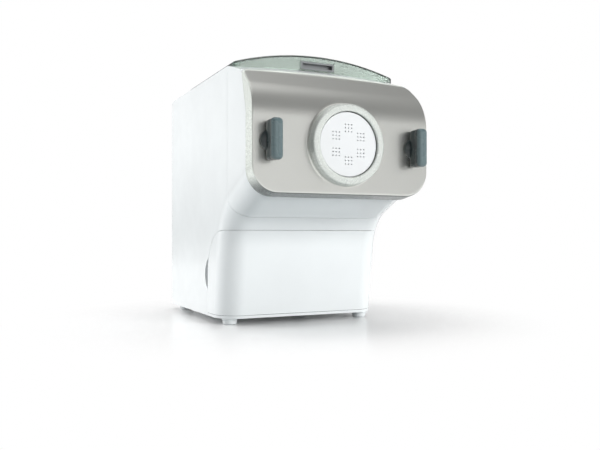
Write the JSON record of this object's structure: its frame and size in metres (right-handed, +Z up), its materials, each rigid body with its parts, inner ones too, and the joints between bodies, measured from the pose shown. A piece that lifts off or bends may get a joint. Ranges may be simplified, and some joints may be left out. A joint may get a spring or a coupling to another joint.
{
  "type": "electric pasta maker",
  "caption": "Countertop machine that kneads dough in a lidded trough and presses it through a shaping disc in its front panel, with a disc drawer in its foot.",
  "frame": {"origin": "on the surface it stands on, under the middle of its outline", "axes": "+Z up, -Y towards the front panel that the pasta comes out of, +X towards the side with the control panel"},
  "size_m": [0.21, 0.338, 0.3053],
  "materials": {
    "white_gloss": "gloss white moulded plastic",
    "champagne_metal": "satin metallic lacquer",
    "pearl": "pearl grey satin plastic",
    "slate": "dark slate gloss plastic",
    "lid_clear": "smoke tinted see-through plastic",
    "ivory": "white food-grade plastic",
    "steel": "brushed steel",
    "grey_plastic": "grey moulded plastic",
    "alloy": "die-cast alloy",
    "rubber": "black rubber",
    "display": "dark display window",
    "board": "green circuit board",
    "bronze": "sintered bronze",
    "nylon": "natural nylon"
  },
  "bodies": {
    "machine": {"main_housing": "white_gloss", "top_deck": "white_gloss", "rear_cover": "white_gloss", "base_plate": "white_gloss", "front_frame": "white_gloss", "panel_studs": "steel", "extrusion_tube": "ivory", "shaping_disc": "ivory", "mixing_chamber": "grey_plastic", "chamber_seal": "rubber", "hinge_pins": "steel", "drawer_bay": "grey_plastic", "drawer_rails": "grey_plastic", "feet": "white_gloss", "control_panel": "grey_plastic", "display_window": "display", "control_board": "board", "idler_shaft": "steel", "gearbox_plate": "steel", "gearbox_cover": "alloy", "shaft_bushes": "bronze", "motor_case": "steel", "motor_stator": "steel", "motor_bracket": "alloy", "power_board": "board", "lid_switch": "grey_plastic", "cord_gland": "rubber", "base_screws": "steel"},
    "panel": {"front_panel": "champagne_metal", "panel_ring": "pearl"},
    "left_knob": {"knob_left": "slate"},
    "right_knob": {"knob_right": "slate"},
    "lid": {"lid": "lid_clear", "lid_handle": "slate"},
    "drawer": {"drawer_front": "white_gloss", "drawer_tray": "grey_plastic", "disc_rack": "grey_plastic", "spare_discs": "ivory"},
    "drive": {"output_shaft": "steel", "output_gear": "nylon", "extrusion_screw": "ivory", "mixing_paddle": "ivory"},
    "idler": {"idler_gear": "nylon"},
    "rotor": {"motor_rotor": "steel", "motor_pinion": "steel", "motor_fan": "grey_plastic"},
    "power": {"power_button": "slate"},
    "program": {"program_button": "slate"},
    "size": {"size_button": "slate"},
    "start": {"start_button": "slate"}
  },
  "joints": [
    {"name": "panel_off", "type": "slide", "parent": "machine", "child": "panel", "axis": [0, -1, 0], "range_m": [0, 0.07]},
    {"name": "left_knob_turn", "type": "hinge", "parent": "panel", "child": "left_knob", "pos_m": [-0.0855, -0.148, 0.1975], "axis": [0, -1, 0], "continuous": true},
    {"name": "right_knob_turn", "type": "hinge", "parent": "panel", "child": "right_knob", "pos_m": [0.0855, -0.148, 0.1975], "axis": [0, -1, 0], "continuous": true},
    {"name": "lid_swing", "type": "hinge", "parent": "machine", "child": "lid", "pos_m": [0, 0.094, 0.2935], "axis": [-1, 0, 0], "range_deg": [0, 100]},
    {"name": "drawer_slide", "type": "slide", "parent": "machine", "child": "drawer", "axis": [0, -1, 0], "range_m": [0, 0.1]},
    {"name": "drive_turn", "type": "hinge", "parent": "machine", "child": "drive", "pos_m": [0, 0, 0.1975], "axis": [0, -1, 0], "continuous": true},
    {"name": "idler_turn", "type": "hinge", "parent": "machine", "child": "idler", "pos_m": [-0.02, 0.09, 0.14519], "axis": [0, -1, 0], "continuous": true},
    {"name": "rotor_turn", "type": "hinge", "parent": "machine", "child": "rotor", "pos_m": [0, 0.13, 0.10211], "axis": [0, -1, 0], "continuous": true},
    {"name": "power_press", "type": "slide", "parent": "machine", "child": "power", "axis": [-1, 0, 0], "range_m": [0, 0.001], "stiffness_N_per_m": 400, "springref_m": -0.001},
    {"name": "program_press", "type": "slide", "parent": "machine", "child": "program", "axis": [-1, 0, 0], "range_m": [0, 0.001], "stiffness_N_per_m": 400, "springref_m": -0.001},
    {"name": "size_press", "type": "slide", "parent": "machine", "child": "size", "axis": [-1, 0, 0], "range_m": [0, 0.001], "stiffness_N_per_m": 400, "springref_m": -0.001},
    {"name": "start_press", "type": "slide", "parent": "machine", "child": "start", "axis": [-1, 0, 0], "range_m": [0, 0.001], "stiffness_N_per_m": 400, "springref_m": -0.001}
  ],
  "couplings": [
    {"joint": "idler_turn", "follows": "drive_turn", "ratio": -3.5714},
    {"joint": "rotor_turn", "follows": "drive_turn", "ratio": 15.816}
  ]
}
